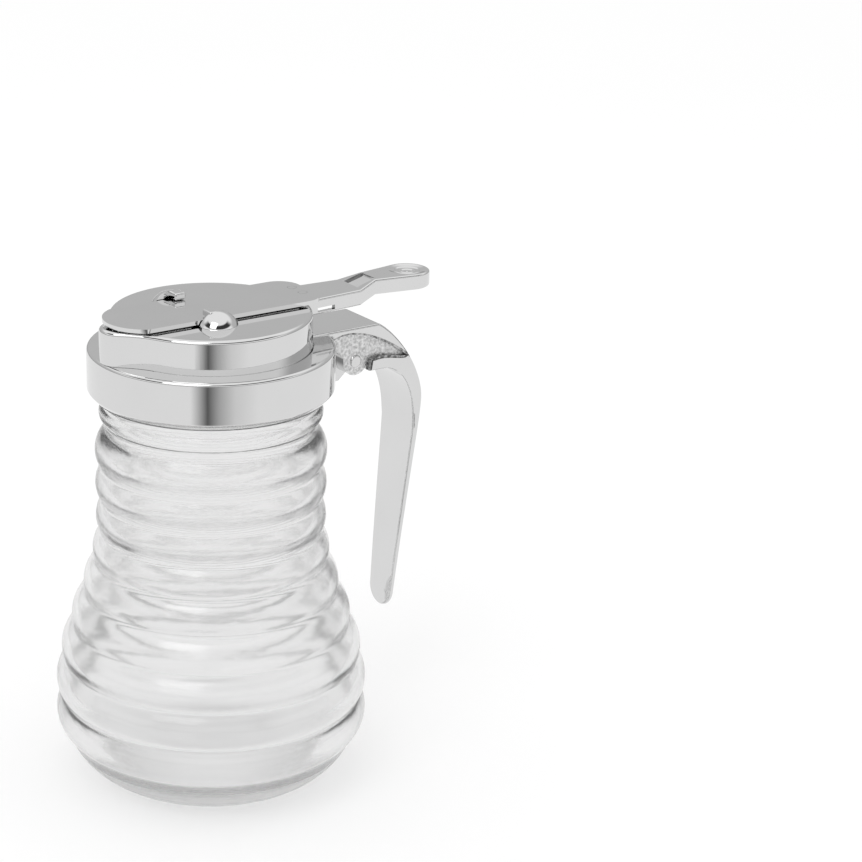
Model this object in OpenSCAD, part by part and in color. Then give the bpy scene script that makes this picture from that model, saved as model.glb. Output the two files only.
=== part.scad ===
// Honey dispenser: a ribbed glass jar under a chromed head with a sliding gate.
// The thumb pad draws the gate back from the pour hole and a hidden spring shuts it.
// Origin at the centre of the jar's base, +Z up, the beak to -X and the handle to +X.

/* [Jar] */
// Radius of the belly over the crests of its ribs
belly_r = 36; // [33:0.5:38]
// Radius of the waist over the crests of its ribs
waist_r = 26.1; // [25:0.1:28]
// Number of ribs from the heel to the shoulder
rib_count = 9; // [8:1:10]
// Height from one rib to the next
rib_pitch = 7.95; // [7.5:0.05:8.5]
// Radius of a rib's round section
rib_r = 6.2; // [5.6:0.1:6.8]
// Radius of the fillet in the grooves between the ribs
groove_r = 0.8; // [0.5:0.1:1.2]
// Height of the lowest rib's crest above the table
first_rib_z = 15.7; // [15:0.1:17]
// Radius of the heel's round section
heel_r = 16; // [13:0.5:17]
// How far the heel's side stands inside the belly's crests
heel_in = 1.5; // [0.5:0.1:2.5]
// Thickness of the glass wall at a crest
glass_t = 3; // [2.4:0.1:3.4]
// Thickness of the glass floor
floor_t = 7; // [5:0.5:9]
// Radius of the neck
neck_r = 24.3; // [24:0.1:25]
// Height of the neck from the top rib's crest to the rim
neck_h = 20.7; // [20:0.1:23]
// Radius of the round section of the bead under the collar
bead_r = 2.3; // [1.8:0.1:2.6]
// Depth of the thread band on the neck
thread_h = 1.2; // [0.8:0.1:1.5]

/* [Seal and collar] */
// Thickness of the sealing ring
seal_t = 0.9; // [0.6:0.1:1.5]
// Radial gap between the neck's thread band and the collar
thread_gap = 0.3; // [0.2:0.05:0.5]
// Wall of the collar
collar_wall = 1.8; // [1.4:0.1:2.2]
// Height of the collar
collar_h = 11; // [10:0.5:12]
// Thickness of the collar's lip over the flange
lip_t = 1.1; // [0.9:0.1:1.5]
// Rounding of the collar's top edge
collar_edge = 0.8; // [0.4:0.1:1]

/* [Spout body] */
// Radius of the spout body
body_r = 22.5; // [22:0.1:23]
// Height of the body's wall above the collar
body_h = 7.7; // [7:0.1:9]
// Wall of the spout body
body_wall = 2.2; // [1.8:0.1:2.6]
// Thickness of the deck that the gate slides on
deck_t = 2; // [1.6:0.1:2.4]
// Thickness of the flange under the collar's lip
flange_t = 1.3; // [1:0.1:1.6]
// Rounding of the deck's rim
deck_edge = 0.9; // [0.5:0.1:1.2]
// Radius of the beak's round front
beak_r = 5.2; // [4.8:0.1:5.6]
// Distance that the beak stands out from the body
beak_reach = 4.9; // [4.4:0.1:5]
// Radius of the hollow blend between the beak and the body
beak_blend = 20; // [12:1:24]
// Height of the raised land on the deck that the plate slides on
land_h = 0.3; // [0.2:0.05:0.6]
// How far the land stays inside the plate's outline
land_in = 1.6; // [1:0.1:2]
// Radius of the pour hole
pour_r = 4.2; // [3.4:0.1:4.4]

/* [Gate] */
// Travel of the gate
gate_travel = 12; // [8:0.5:12.5]
// Thickness of the gate plate
plate_t = 0.9; // [0.8:0.1:1.4]
// Half width of the gate plate
plate_w = 8.7; // [8:0.1:9]
// Distance from the jar's axis to the tip of the plate's nose
plate_front = 25.9; // [25.5:0.1:26.5]
// Distance from the jar's axis to the plate's rear end
plate_rear = 25.1; // [24.6:0.1:26]
// Radius of the nose
nose_r = 9.8; // [9.1:0.1:10.5]
// Radius of the plate's rear corners
plate_corner = 5; // [3:0.1:5.5]
// Running gap above and below the plate
slide_gap = 0.1; // [0.05:0.01:0.2]
// Thickness of the tab that presses on the spring
tab_t = 1; // [0.8:0.1:1.6]

/* [Guides] */
// Radius of the guide's domed shell
dome_r = 4.9; // [4.6:0.1:5.4]
// Height of the dome above the deck
dome_h = 3; // [2.8:0.1:3.5]
// Wall of the dome
dome_wall = 1; // [0.8:0.1:1.4]
// Place of the far dome along the slide, from the jar's axis
dome_x = -4.9; // [-7:0.1:0]
// How far the near dome stands behind the far one
dome_stagger = 1.1; // [0:0.1:2]
// Width of the finger over the plate
finger_w = 2.7; // [2:0.1:3.4]
// Thickness of the finger
finger_t = 1.6; // [1.4:0.1:1.7]
// Overlap of the finger on the plate
finger_reach = 2.5; // [1.5:0.1:3.5]

/* [Thumb lever] */
// Half width of the lever's arm at its root
root_w = 6.2; // [5.6:0.1:6.6]
// Half width of the lever's arm at the ramp
arm_w = 5.1; // [4.5:0.1:5.5]
// Length of the flat arm from the plate's rear end to the ramp
arm_len = 11.3; // [8:0.1:14]
// Height that the ramp climbs
ramp_h = 1.3; // [1:0.1:3]
// Length of the ramp
ramp_len = 5.1; // [4:0.1:7]
// Half width at the top of the ramp
throat_w = 3.5; // [3:0.1:3.8]
// Radius of the round thumb pad
pad_r = 5.2; // [4.8:0.1:7]
// Length from the top of the ramp to the pad's centre
pad_len = 11; // [9:0.1:14]
// Wall of the lever
lever_wall = 1.2; // [1:0.1:1.4]
// Depth of the lever's sides
lever_d = 3.6; // [3.2:0.1:3.8]
// Depth of the dish in the thumb pad
dish_d = 0.6; // [0.4:0.05:0.8]
// Length of the lever's tongue under the plate
tongue_len = 5.5; // [5:0.1:6]
// Radius of the rivets
rivet_r = 1; // [0.7:0.1:1.2]

/* [Return spring] */
// Outer radius of the spring
coil_r = 1.8; // [1.5:0.1:2]
// Diameter of the spring wire
wire_d = 0.45; // [0.35:0.05:0.6]
// Number of curls
curl_count = 12; // [9:1:14]

/* [Handle] */
// Distance from the collar to the outermost point of the handle
handle_reach = 25.4; // [23:0.1:30]
// Half width of the handle
handle_w = 7; // [6.5:0.1:8]
// Half width of the handle's round tip
tip_w = 4.4; // [3.5:0.1:5.5]
// Height of the handle's tip above the table
tip_z = 30; // [24:0.5:40]
// Thickness of the grip at its root
grip_t = 1.8; // [1.5:0.1:2.4]
// Thickness of the grip at its tip
tip_t = 1; // [0.8:0.1:1.5]
// Depth of the recess in the handle's sides
recess_d = 1.4; // [0.8:0.1:1.6]
// Distance of the pin behind the collar
pin_back = 7.3; // [6.6:0.1:8.4]
// Distance of the pin below the collar's top
pin_drop = 8.3; // [7.6:0.1:9]
// Radius of the pin
pin_r = 1.5; // [1.2:0.1:1.8]
// Half width of the collar's lug between the ears
lug_w = 2.6; // [2:0.1:3]

/* [Hidden] */
$fn = 72;

// Small clearances and overlaps
pin_gap = 0.05;   // radial, round the pin and the rivets
seat_gap = 0.05;  // between pieces of the head that bear on each other
side_gap = 0.3;   // beside and under the pieces that slide
bite = 0.2;       // overlap that joins two shapes of one piece
far = 60;         // reach of a cutting shape

// Heights, from the table up
top_rib_z = first_rib_z + (rib_count - 1) * rib_pitch;
rim_z = top_rib_z + neck_h;
flange_z = rim_z + seal_t;
lip_z = flange_z + flange_t;
collar_z = lip_z + lip_t;
deck_z = collar_z + body_h;
plate_z = deck_z + land_h + slide_gap;
plate_top_z = plate_z + plate_t;

// Radii of the neck, seal, collar and flange
mouth_r = neck_r - glass_t;
thread_r = neck_r + thread_h;
bore_r = thread_r + thread_gap;
collar_r = bore_r + collar_wall;
flange_r = bore_r - side_gap;
cup_r = body_r - body_wall;

// The belly swells over these ribs, counted from the lowest
swell_from = 0.65;
swell_ribs = 5.4;

// Beak and pour hole
beak_x = -(body_r + beak_reach - beak_r);
pour_x = beak_x + 1.8;
port_floor = 1.2;

// Spring channel under the plate
channel_w = coil_r + 0.4;
channel_d = 2 * coil_r + 0.7;
channel_wall = 1.4;
lever_x = plate_rear - tongue_len;
notch_x = lever_x - side_gap;
rear_wall = 1.8;
spring_shut = 15.6;
channel_rear = notch_x - rear_wall;
tab_x = channel_rear - spring_shut - gate_travel;
channel_front = tab_x - side_gap;

// Places along the lever
ramp_x = plate_rear + arm_len;
throat_x = ramp_x + ramp_len;
pad_x = throat_x + pad_len;
pad_z = plate_z + ramp_h;
rivet_head_r = rivet_r + 0.6;
head_gap = 0.1;
rivet_x = lever_x + lever_wall + rivet_head_r + head_gap;
rivet_y = arm_w - lever_wall - rivet_head_r - head_gap;

// Places on the handle
pin_x = collar_r + pin_back;
pin_z = collar_z - pin_drop;
ear_r = pin_r + 1.8;
bridge_z = collar_z + 2 * seat_gap;
bridge_t = bridge_z - lip_z - seat_gap;
crease_x = collar_r + handle_reach - 12.6;
back_x = collar_r + handle_reach;
toe_w = 4;
toe_len = 1.5;
root_drop = 20.4;  // from the bridge down to the grip's root
neck_drop = 10.9;  // from the collar's top down to the underside of the gooseneck
arch_drop = 24.5;  // from the collar's top down to the foot of the gooseneck's inner line
taper_drop = 18;   // from the collar's top down to where the grip starts to taper
neck_t = 2.2;      // thickness of the gooseneck at its root

function clamp01(t) = max(0, min(1, t));
function arc(centre, r, from, to, steps) = [
    for (i = [0:steps])
        let (a = from + (to - from) * i / steps)
        centre + r * [cos(a), sin(a)]
];
function curve_at(p, t) =
    pow(1 - t, 3) * p[0] + 3 * pow(1 - t, 2) * t * p[1] + 3 * (1 - t) * t * t * p[2] + pow(t, 3) * p[3];
function curve(p, steps) = [for (i = [0:steps]) curve_at(p, i / steps)];
function slope_at(p, t) =
    pow(1 - t, 2) * (p[1] - p[0]) + 2 * (1 - t) * t * (p[2] - p[1]) + t * t * (p[3] - p[2]);
function unit(v) = v / norm(v);
function reversed(list) = [for (i = [len(list) - 1:-1:0]) list[i]];

// Centre of the circle of radius v that touches two others from outside, to the right of a to b
function blend_centre(a, ra, b, rb, v) =
    let (
        gap = norm(b - a),
        u = (b - a) / gap,
        along = (pow(ra + v, 2) - pow(rb + v, 2) + gap * gap) / (2 * gap),
        out = sqrt(pow(ra + v, 2) - along * along)
    )
    a + along * u + out * [u[1], -u[0]];

// Fills the corner between two circles with a tangent arc
module blend(a, ra, b, rb, v) {
    c = blend_centre(a, ra, b, rb, v);
    difference() {
        polygon([a, c, b]);
        translate(c) circle(v);
    }
}

// Points along such a tangent arc, drawn in by an inset and stopping just short of both circles
function blend_line(a, ra, b, rb, v, inset, steps) =
    let (
        c = blend_centre(a, ra, b, rb, v),
        from = atan2(a[1] - c[1], a[0] - c[0]),
        to = atan2(b[1] - c[1], b[0] - c[0]),
        trim = 2.5 * sign(to - from)
    )
    arc(c, v + inset, from + trim, to - trim, steps);

// Stands an X-Z outline up and gives it a thickness along Y
module slab(half) {
    rotate([90, 0, 0]) linear_extrude(2 * half, center = true) children();
}

// --- Glass jar ---

function crest_r(i) = waist_r + (belly_r - waist_r) * (1 + cos(180 * clamp01((i - swell_from) / swell_ribs))) / 2;
function rib_centre(i) = [crest_r(i) - rib_r, first_rib_z + i * rib_pitch];
function inner_wall(i) = [crest_r(i) - glass_t, first_rib_z + i * rib_pitch];

heel_c = [belly_r - heel_in - heel_r, heel_r];
bead_c = [neck_r + 0.8 - bead_r, rim_z - 11.7];
groove_neck_r = neck_r - 0.5;
thread_z = rim_z - 6.5;

module jar_outline() {
    last = rib_count - 1;
    polygon(concat(
        [[0, 0], [heel_c[0], 0], heel_c],
        [for (i = [0:last]) rib_centre(i)],
        [[groove_neck_r, top_rib_z], [groove_neck_r, bead_c[1]], [neck_r, bead_c[1]],
         [neck_r, thread_z - 1], [thread_r, thread_z], [thread_r, rim_z - 1.8], [neck_r, rim_z - 1],
         [neck_r, rim_z], [0, rim_z]]
    ));
    // A wide heel under a narrow belly stops at the axis
    intersection() {
        translate(heel_c) circle(heel_r);
        translate([0, -heel_r]) square([belly_r, 4 * heel_r]);
    }
    translate(bead_c) circle(bead_r);
    for (i = [0:last]) {
        translate(rib_centre(i)) circle(rib_r);
    }
    for (i = [0:last - 1]) {
        blend(rib_centre(i), rib_r, rib_centre(i + 1), rib_r, groove_r);
    }
}

module jar_hollow() {
    well_r = 10;
    well_c = [belly_r - glass_t - well_r, floor_t + well_r];
    polygon(concat(
        [[0, floor_t]],
        arc(well_c, well_r, -90, 0, 6),
        [for (i = [1:0.5:rib_count - 1]) inner_wall(i)],
        [[mouth_r, bead_c[1]], [mouth_r, rim_z + 1], [0, rim_z + 1]]
    ));
}

module glass_jar() {
    color("aliceblue", 0.5)
    rotate_extrude() difference() {
        jar_outline();
        jar_hollow();
    }
}

// --- Sealing ring and collar ---

module neck_seal() {
    color("gainsboro")
    rotate_extrude()
    translate([mouth_r, rim_z]) square([flange_r - mouth_r, seal_t]);
}

module collar_ring() {
    chamfer = 1.4;
    rotate_extrude() polygon(concat(
        [[bore_r, collar_z - collar_h], [collar_r - chamfer, collar_z - collar_h],
         [collar_r, collar_z - collar_h + 1.8]],
        arc([collar_r - collar_edge, collar_z - collar_edge], collar_edge, 0, 90, 4),
        [[body_r + seat_gap, collar_z], [body_r + seat_gap, lip_z], [bore_r, lip_z]]
    ));
}

// Lug behind the collar that the handle's ears straddle
module lug_outline() {
    foot_z = collar_z - collar_h - 2.5;
    translate([pin_x, pin_z]) circle(ear_r - 0.4);
    polygon([
        [bore_r + bite, lip_z - 3], [collar_r + 1.5, lip_z - 3], [pin_x, pin_z + ear_r - 0.4],
        [pin_x, pin_z - ear_r + 0.4], [pin_x - 2.5, foot_z], [collar_r - 0.4, foot_z],
        [collar_r - 0.4, collar_z - collar_h + 2], [bore_r + bite, collar_z - collar_h + 2]
    ]);
}

module screw_collar() {
    color("silver")
    difference() {
        union() {
            collar_ring();
            slab(lug_w) lug_outline();
        }
        translate([pin_x, 0, pin_z]) rotate([90, 0, 0]) cylinder(h = far, r = pin_r + pin_gap, center = true);
        translate([body_r - 2, -handle_w - seat_gap, lip_z]) cube([far, 2 * (handle_w + seat_gap), lip_t + 1]);
    }
}

// --- Spout body ---

module body_shell() {
    rotate_extrude() polygon(concat(
        [[0, flange_z], [flange_r, flange_z], [flange_r, lip_z], [body_r, lip_z]],
        arc([body_r - deck_edge, deck_z - deck_edge], deck_edge, 0, 90, 4),
        [[0, deck_z]]
    ));
}

module beak() {
    foot_z = collar_z + seat_gap;
    translate([beak_x, 0, 0]) rotate_extrude() polygon(concat(
        [[0, foot_z], [beak_r, foot_z]],
        arc([beak_r - deck_edge, deck_z - deck_edge], deck_edge, 0, 90, 4),
        [[0, deck_z]]
    ));
    // Hollow flanks, whose rim is rounded in three steps
    for (side = [0, 1], lean = [0:30:90]) {
        inset = deck_edge * (1 - cos(lean));
        flank = blend_line([0, 0], body_r, [beak_x, 0], beak_r, beak_blend, inset, 8);
        mirror([0, side, 0]) translate([0, 0, foot_z])
        linear_extrude(deck_z - deck_edge * (1 - sin(lean)) - foot_z) polygon(concat([[0, 0]], flank, [[beak_x, 0]]));
    }
}

// Raised land that the plate slides on
module land() {
    half = plate_w - land_in;
    rear_x = channel_rear + 1;
    translate([0, 0, deck_z - bite]) linear_extrude(land_h + bite)
    polygon(concat(nose_line(land_in, 16), [[rear_x, -half], [rear_x, half]]));
}

// Walls of the spring channel and of the lever's notch, under the deck
module deck_pockets(grow, floor_z) {
    translate([channel_front - grow, -channel_w - grow, floor_z])
    cube([channel_rear - channel_front + 2 * grow, 2 * (channel_w + grow), deck_z - floor_z - bite]);
}

module lever_notch(grow, floor_z) {
    translate([notch_x - grow, -root_w - side_gap - grow, floor_z])
    cube([far, 2 * (root_w + side_gap + grow), far]);
}

module spout_body() {
    channel_z = deck_z - channel_d;
    notch_z = plate_z - lever_d - side_gap;
    color("silver")
    difference() {
        union() {
            difference() {
                union() {
                    body_shell();
                    beak();
                    land();
                }
                translate([0, 0, flange_z - 1]) cylinder(h = deck_z - deck_t - flange_z + 1, r = cup_r);
                translate([pour_x, 0, collar_z + port_floor]) cylinder(h = far, r = pour_r);
            }
            intersection() {
                translate([0, 0, flange_z]) cylinder(h = deck_z - deck_edge - flange_z, r = cup_r + bite);
                union() {
                    deck_pockets(channel_wall, channel_z - channel_wall);
                    lever_notch(channel_wall, notch_z - channel_wall);
                }
            }
        }
        translate([channel_front, -channel_w, channel_z]) cube([channel_rear - channel_front, 2 * channel_w, far]);
        lever_notch(0, notch_z);
        translate([body_r - toe_len - seat_gap, -toe_w - seat_gap, lip_z])
        cube([far, 2 * (toe_w + seat_gap), bridge_z - lip_z + seat_gap]);
    }
}

// --- Guides ---

// One guide on the +Y side: a half dome open to the plate, with a finger over it
module guide() {
    open_y = plate_w + side_gap;
    finger_z = plate_top_z + slide_gap;
    sphere_z = deck_z + dome_h - dome_r;
    difference() {
        translate([dome_x, open_y + 0.1, sphere_z]) difference() {
            sphere(dome_r);
            sphere(dome_r - dome_wall);
        }
        translate([-far / 2, -far / 2, deck_z - far]) cube(far);
        translate([-far / 2, open_y - far, deck_z - 1]) cube(far);
    }
    translate([dome_x - 0.5, plate_w - finger_reach, finger_z])
    cube([finger_w, finger_reach + side_gap + 0.6, finger_t]);
}

module guide_far() {
    color("silver") guide();
}

module guide_near() {
    color("silver") translate([2 * dome_x + dome_stagger, 0, 0]) rotate([0, 0, 180]) guide();
}

// --- Gate plate, thumb lever and rivets ---

// Round nose of the plate, drawn in by an inset
function nose_line(inset, steps) =
    let (flank_a = asin((plate_w - inset) / (nose_r - inset)))
    arc([nose_r - plate_front, 0], nose_r - inset, 180 - flank_a, 180 + flank_a, steps);

module plate_outline() {
    corner_x = plate_rear - plate_corner;
    corner_y = plate_w - plate_corner;
    polygon(concat(
        nose_line(0, 24),
        arc([corner_x, -corner_y], plate_corner, -90, 0, 8),
        arc([corner_x, corner_y], plate_corner, 0, 90, 8)
    ));
}

module rivets(radius, from_z, to_z) {
    for (side = [-1, 1]) {
        translate([rivet_x, side * rivet_y, from_z]) cylinder(h = to_z - from_z, r = radius);
    }
}

module gate_plate() {
    tab_z = deck_z - channel_d + side_gap;
    color("silver")
    difference() {
        union() {
            translate([0, 0, plate_z]) linear_extrude(plate_t) plate_outline();
            translate([tab_x, side_gap - channel_w, tab_z])
            cube([tab_t, 2 * (channel_w - side_gap), plate_z + bite - tab_z]);
        }
        rivets(rivet_r + pin_gap, plate_z - 1, plate_top_z + 1);
    }
}

// Plan of the lever, drawn in by the wall for its hollow
module lever_plan(inset) {
    root = root_w - inset;
    half = arm_w - inset;
    throat = throat_w - inset;
    lean = 90 + asin((pad_r - throat_w) / pad_len);
    polygon(concat(
        [[lever_x + inset, root], [ramp_x, half], [throat_x, throat]],
        arc([pad_x, 0], pad_r - inset, lean, -lean, 24),
        [[throat_x, -throat], [ramp_x, -half], [lever_x + inset, -root]]
    ));
}

// Side of the lever: level arm, ramp and level pad
module lever_side(drop, depth) {
    end_x = pad_x + pad_r + 1;
    polygon([
        [lever_x - 1, plate_z - drop], [ramp_x, plate_z - drop], [throat_x, pad_z - drop], [end_x, pad_z - drop],
        [end_x, pad_z - depth], [throat_x, pad_z - depth], [ramp_x, plate_z - depth], [lever_x - 1, plate_z - depth]
    ]);
}

// Shallow dish that is sunk into the pad, with two raised rings that stop the thumb from slipping
module dish() {
    dish_r = pad_r - 0.7;
    ridge = 0.3;
    function floor_at(r) = dish_d * (r * r / (dish_r * dish_r) - 1);
    rotate_extrude() polygon(concat(
        [[0, 1], [0, -dish_d]],
        [for (r = [dish_r / 3, 2 * dish_r / 3])
            each [[r - ridge, floor_at(r)], [r, floor_at(r) + ridge], [r + ridge, floor_at(r)]]],
        [[dish_r, 0], [dish_r, 1]]
    ));
}

module thumb_lever() {
    rim = 0.8;
    slot_x = lever_x + 4.6;
    color("silver")
    difference() {
        intersection() {
            slab(2 * arm_w) lever_side(0, lever_d);
            linear_extrude(2 * rim_z) lever_plan(0);
        }
        intersection() {
            slab(2 * arm_w) lever_side(lever_wall, lever_d + 1);
            linear_extrude(2 * rim_z) lever_plan(lever_wall);
        }
        // The ramp is sunk between two narrow rims
        slab(throat_w - rim) polygon([
            [ramp_x + 0.4, plate_z - 0.4], [ramp_x + 0.4, plate_z + 1],
            [throat_x + 0.4, pad_z + 1], [throat_x + 0.4, pad_z - 0.4]
        ]);
        // Slots in both sides of the arm
        translate([slot_x, -2 * arm_w, plate_z - lever_d + 0.5]) cube([4.8, 4 * arm_w, 1]);
        translate([pad_x, 0, pad_z]) dish();
        rivets(rivet_r + pin_gap, plate_z - lever_d - 1, plate_z + 1);
    }
}

module gate_rivets() {
    web_z = plate_z - lever_wall;
    color("gainsboro") {
        rivets(rivet_r, web_z - bite, plate_top_z);
        rivets(rivet_head_r, web_z - 0.7, web_z);
    }
}

// --- Return spring ---

// One tube wound along X, its first and last curls laid flat against what they press on
module return_spring() {
    steps = 8;
    sides = 6;
    from_x = tab_x + tab_t + seat_gap + wire_d / 2;
    length = channel_rear - seat_gap - wire_d / 2 - from_x;
    ring_count = curl_count * steps + 1;
    path_r = coil_r - wire_d / 2;
    axis_z = deck_z - channel_d + 0.35 + coil_r;
    centres = [
        for (i = [0:ring_count - 1])
            let (a = 360 * i / steps)
            [from_x + length * i / (ring_count - 1), path_r * cos(a), axis_z + path_r * sin(a)]
    ];
    least_gap = min([
        for (i = [0:ring_count - 1], j = [i + steps - 1:min(i + steps + 1, ring_count - 1)])
            norm(centres[j] - centres[i]) - wire_d
    ]);
    echo(spring_least_gap_mm = least_gap);
    points = [
        for (i = [0:ring_count - 1])
            let (
                a = 360 * i / steps,
                out = [0, cos(a), sin(a)],
                run = unit([length / (ring_count - 1), -path_r * sin(a) * 2 * PI / steps,
                            path_r * cos(a) * 2 * PI / steps]),
                up = cross(run, out)
            )
            for (k = [0:sides - 1])
                centres[i] + wire_d / 2 * (cos(360 * k / sides) * out + sin(360 * k / sides) * up)
    ];
    skin = [
        for (i = [0:ring_count - 2], k = [0:sides - 1])
            let (a = i * sides + k, b = i * sides + (k + 1) % sides)
            each [[a, b, b + sides], [a, b + sides, a + sides]]
    ];
    ends = [
        for (k = [1:sides - 2])
            each [[0, k + 1, k], [0, k, k + 1] + (ring_count - 1) * sides * [1, 1, 1]]
    ];
    color("gray") polyhedron(points, concat(skin, ends));
}

// --- Handle and its pin ---

// Outer line of the handle: over the bridge's crease, round the back, down to the tip
shoulder_line = [
    [crease_x, bridge_z], [crease_x + 5.4, bridge_z - 3.2],
    [back_x, bridge_z - root_drop + 8], [back_x, bridge_z - root_drop]
];
grip_line = [
    [back_x, bridge_z - root_drop], [back_x - 0.1, bridge_z - root_drop - 7],
    [back_x - 2.5, (bridge_z + tip_z) / 2 - 6], [back_x - 5, tip_z - 1]
];
// Inner line of the gooseneck, from the ear to the root of the grip
arch_line = [
    [back_x - 11.2, collar_z - neck_drop], [back_x - 6, collar_z - neck_drop - 0.1],
    [back_x - neck_t - 0.4, collar_z - arch_drop + 8], [back_x - neck_t, collar_z - arch_drop]
];

function grip_inner(t) =
    let (run = unit(slope_at(grip_line, t)))
    curve_at(grip_line, t) + (grip_t + (tip_t - grip_t) * t) * [run[1], -run[0]];

module handle_outline() {
    steps = 12;
    from_t = 0.12;
    polygon(concat(
        [[body_r - 3, bridge_z]],
        curve(shoulder_line, steps),
        [for (i = [1:steps]) curve_at(grip_line, i / steps)],
        [for (i = [steps:-1:1]) grip_inner(from_t + (1 - from_t) * i / steps)],
        reversed(curve(arch_line, steps)),
        [[pin_x + ear_r - 0.4, collar_z - neck_drop], [pin_x + ear_r - 0.5, pin_z - 1.2], [pin_x, pin_z - ear_r],
         [pin_x - ear_r, pin_z - 1], [pin_x - ear_r, pin_z + 1.4], [collar_r + 0.9, collar_z - 4.3],
         [collar_r + side_gap, collar_z - 2.6], [collar_r + side_gap, bridge_z - bridge_t],
         [body_r - 3, bridge_z - bridge_t]]
    ));
    translate([pin_x, pin_z]) circle(ear_r);
}

// Crescent recess that runs from the ears along both sides of the gooseneck
module recess_outline() {
    tip = [back_x - 4.4, collar_z - 8.8];
    polygon(concat(
        curve([[collar_r + 0.3, collar_z - 2.2], [collar_r + 5.4, collar_z + 0.3],
               [collar_r + 13.4, collar_z - 3.1], tip], 12),
        curve([tip, [tip[0] - 4, tip[1] + 0.2], [tip[0] - 6, tip[1] + 1.6],
               [pin_x + ear_r + 0.3, collar_z - 8.2]], 6),
        [[pin_x + ear_r, collar_z - 9.5], [pin_x + ear_r - 0.4, collar_z - 14],
         [collar_r - 1, collar_z - 14], [collar_r - 1, collar_z - 2.2]]
    ));
}

// Width of the handle, seen from behind: full at the top, tapering to a round tip
module handle_front() {
    taper_z = collar_z - taper_drop;
    rotate([90, 0, 90]) linear_extrude(2 * far) union() {
        translate([-handle_w, taper_z]) square([2 * handle_w, far]);
        polygon([
            [-handle_w, taper_z + bite], [-handle_w, taper_z], [-tip_w, tip_z + tip_w], [tip_w, tip_z + tip_w],
            [handle_w, taper_z], [handle_w, taper_z + bite]
        ]);
        translate([0, tip_z + tip_w]) circle(tip_w);
    }
}

module handle() {
    color("silver")
    difference() {
        union() {
            difference() {
                intersection() {
                    slab(handle_w) handle_outline();
                    handle_front();
                }
                translate([0, 0, lip_z - 1]) cylinder(h = far, r = body_r + seat_gap);
            }
            translate([body_r - toe_len, -toe_w, lip_z + seat_gap]) cube([toe_len + 1, 2 * toe_w, bridge_t]);
        }
        // Slot between the ears for the collar's lug
        translate([collar_r - 1, -lug_w - pin_gap, 0])
        cube([pin_x + ear_r + pin_gap - collar_r + 1, 2 * (lug_w + pin_gap), lip_z - 2.4]);
        for (side = [-1, 1]) {
            translate([0, side * (handle_w - recess_d + far / 2), 0]) slab(far / 2) recess_outline();
        }
        translate([pin_x, 0, pin_z]) rotate([90, 0, 0]) cylinder(h = far, r = pin_r + pin_gap, center = true);
    }
}

module handle_pin() {
    half = handle_w - recess_d + 0.4;
    end = 0.4;
    color("silver")
    translate([pin_x, 0, pin_z]) rotate([90, 0, 0]) rotate_extrude() polygon([
        [0, -half], [pin_r - end, -half], [pin_r, end - half],
        [pin_r, half - end], [pin_r - end, half], [0, half]
    ]);
}

glass_jar();
neck_seal();
screw_collar();
spout_body();
guide_near();
guide_far();
gate_plate();
thumb_lever();
gate_rivets();
return_spring();
handle();
handle_pin();
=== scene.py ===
import math
from functools import partial

import bpy
from bpy.props import FloatProperty, FloatVectorProperty, IntProperty, PointerProperty
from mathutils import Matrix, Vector


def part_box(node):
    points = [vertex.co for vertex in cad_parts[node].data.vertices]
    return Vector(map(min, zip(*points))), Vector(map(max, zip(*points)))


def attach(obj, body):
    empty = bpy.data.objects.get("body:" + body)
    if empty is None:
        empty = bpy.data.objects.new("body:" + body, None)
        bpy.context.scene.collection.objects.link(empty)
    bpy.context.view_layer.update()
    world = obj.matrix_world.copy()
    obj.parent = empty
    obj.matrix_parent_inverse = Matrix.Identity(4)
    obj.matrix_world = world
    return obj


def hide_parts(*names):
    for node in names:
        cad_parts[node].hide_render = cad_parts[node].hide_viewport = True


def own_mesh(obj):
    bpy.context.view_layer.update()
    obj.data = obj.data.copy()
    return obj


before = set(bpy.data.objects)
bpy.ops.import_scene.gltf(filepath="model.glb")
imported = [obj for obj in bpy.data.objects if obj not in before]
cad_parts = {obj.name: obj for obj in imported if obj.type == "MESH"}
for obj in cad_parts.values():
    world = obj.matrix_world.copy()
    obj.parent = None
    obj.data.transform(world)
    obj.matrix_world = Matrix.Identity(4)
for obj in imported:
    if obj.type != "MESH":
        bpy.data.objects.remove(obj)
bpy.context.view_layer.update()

bl_info = {
    "name": "Honey Dispenser",
    "version": (1, 0, 0),
    "blender": (4, 5, 0),
    "location": "View3D > Sidebar > Honey",
    "description": "Ribbed glass honey dispenser with a chromed head and a sliding gate",
    "category": "Add Mesh",
}

MM = 0.001


def low(node):
    """Lowest corner of a CAD node, in millimetres."""
    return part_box(node)[0] / MM


def high(node):
    """Highest corner of a CAD node, in millimetres."""
    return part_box(node)[1] / MM


def linear(hex_code):
    """sRGB hex code, such as "d8dadc", as linear red, green, blue and alpha."""
    values = [int(hex_code[i:i + 2], 16) / 255 for i in (0, 2, 4)]
    curved = [v / 12.92 if v <= 0.04045 else ((v + 0.055) / 1.055) ** 2.4 for v in values]
    return (*curved, 1.0)


# Sizes and colours that a user would change

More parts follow.
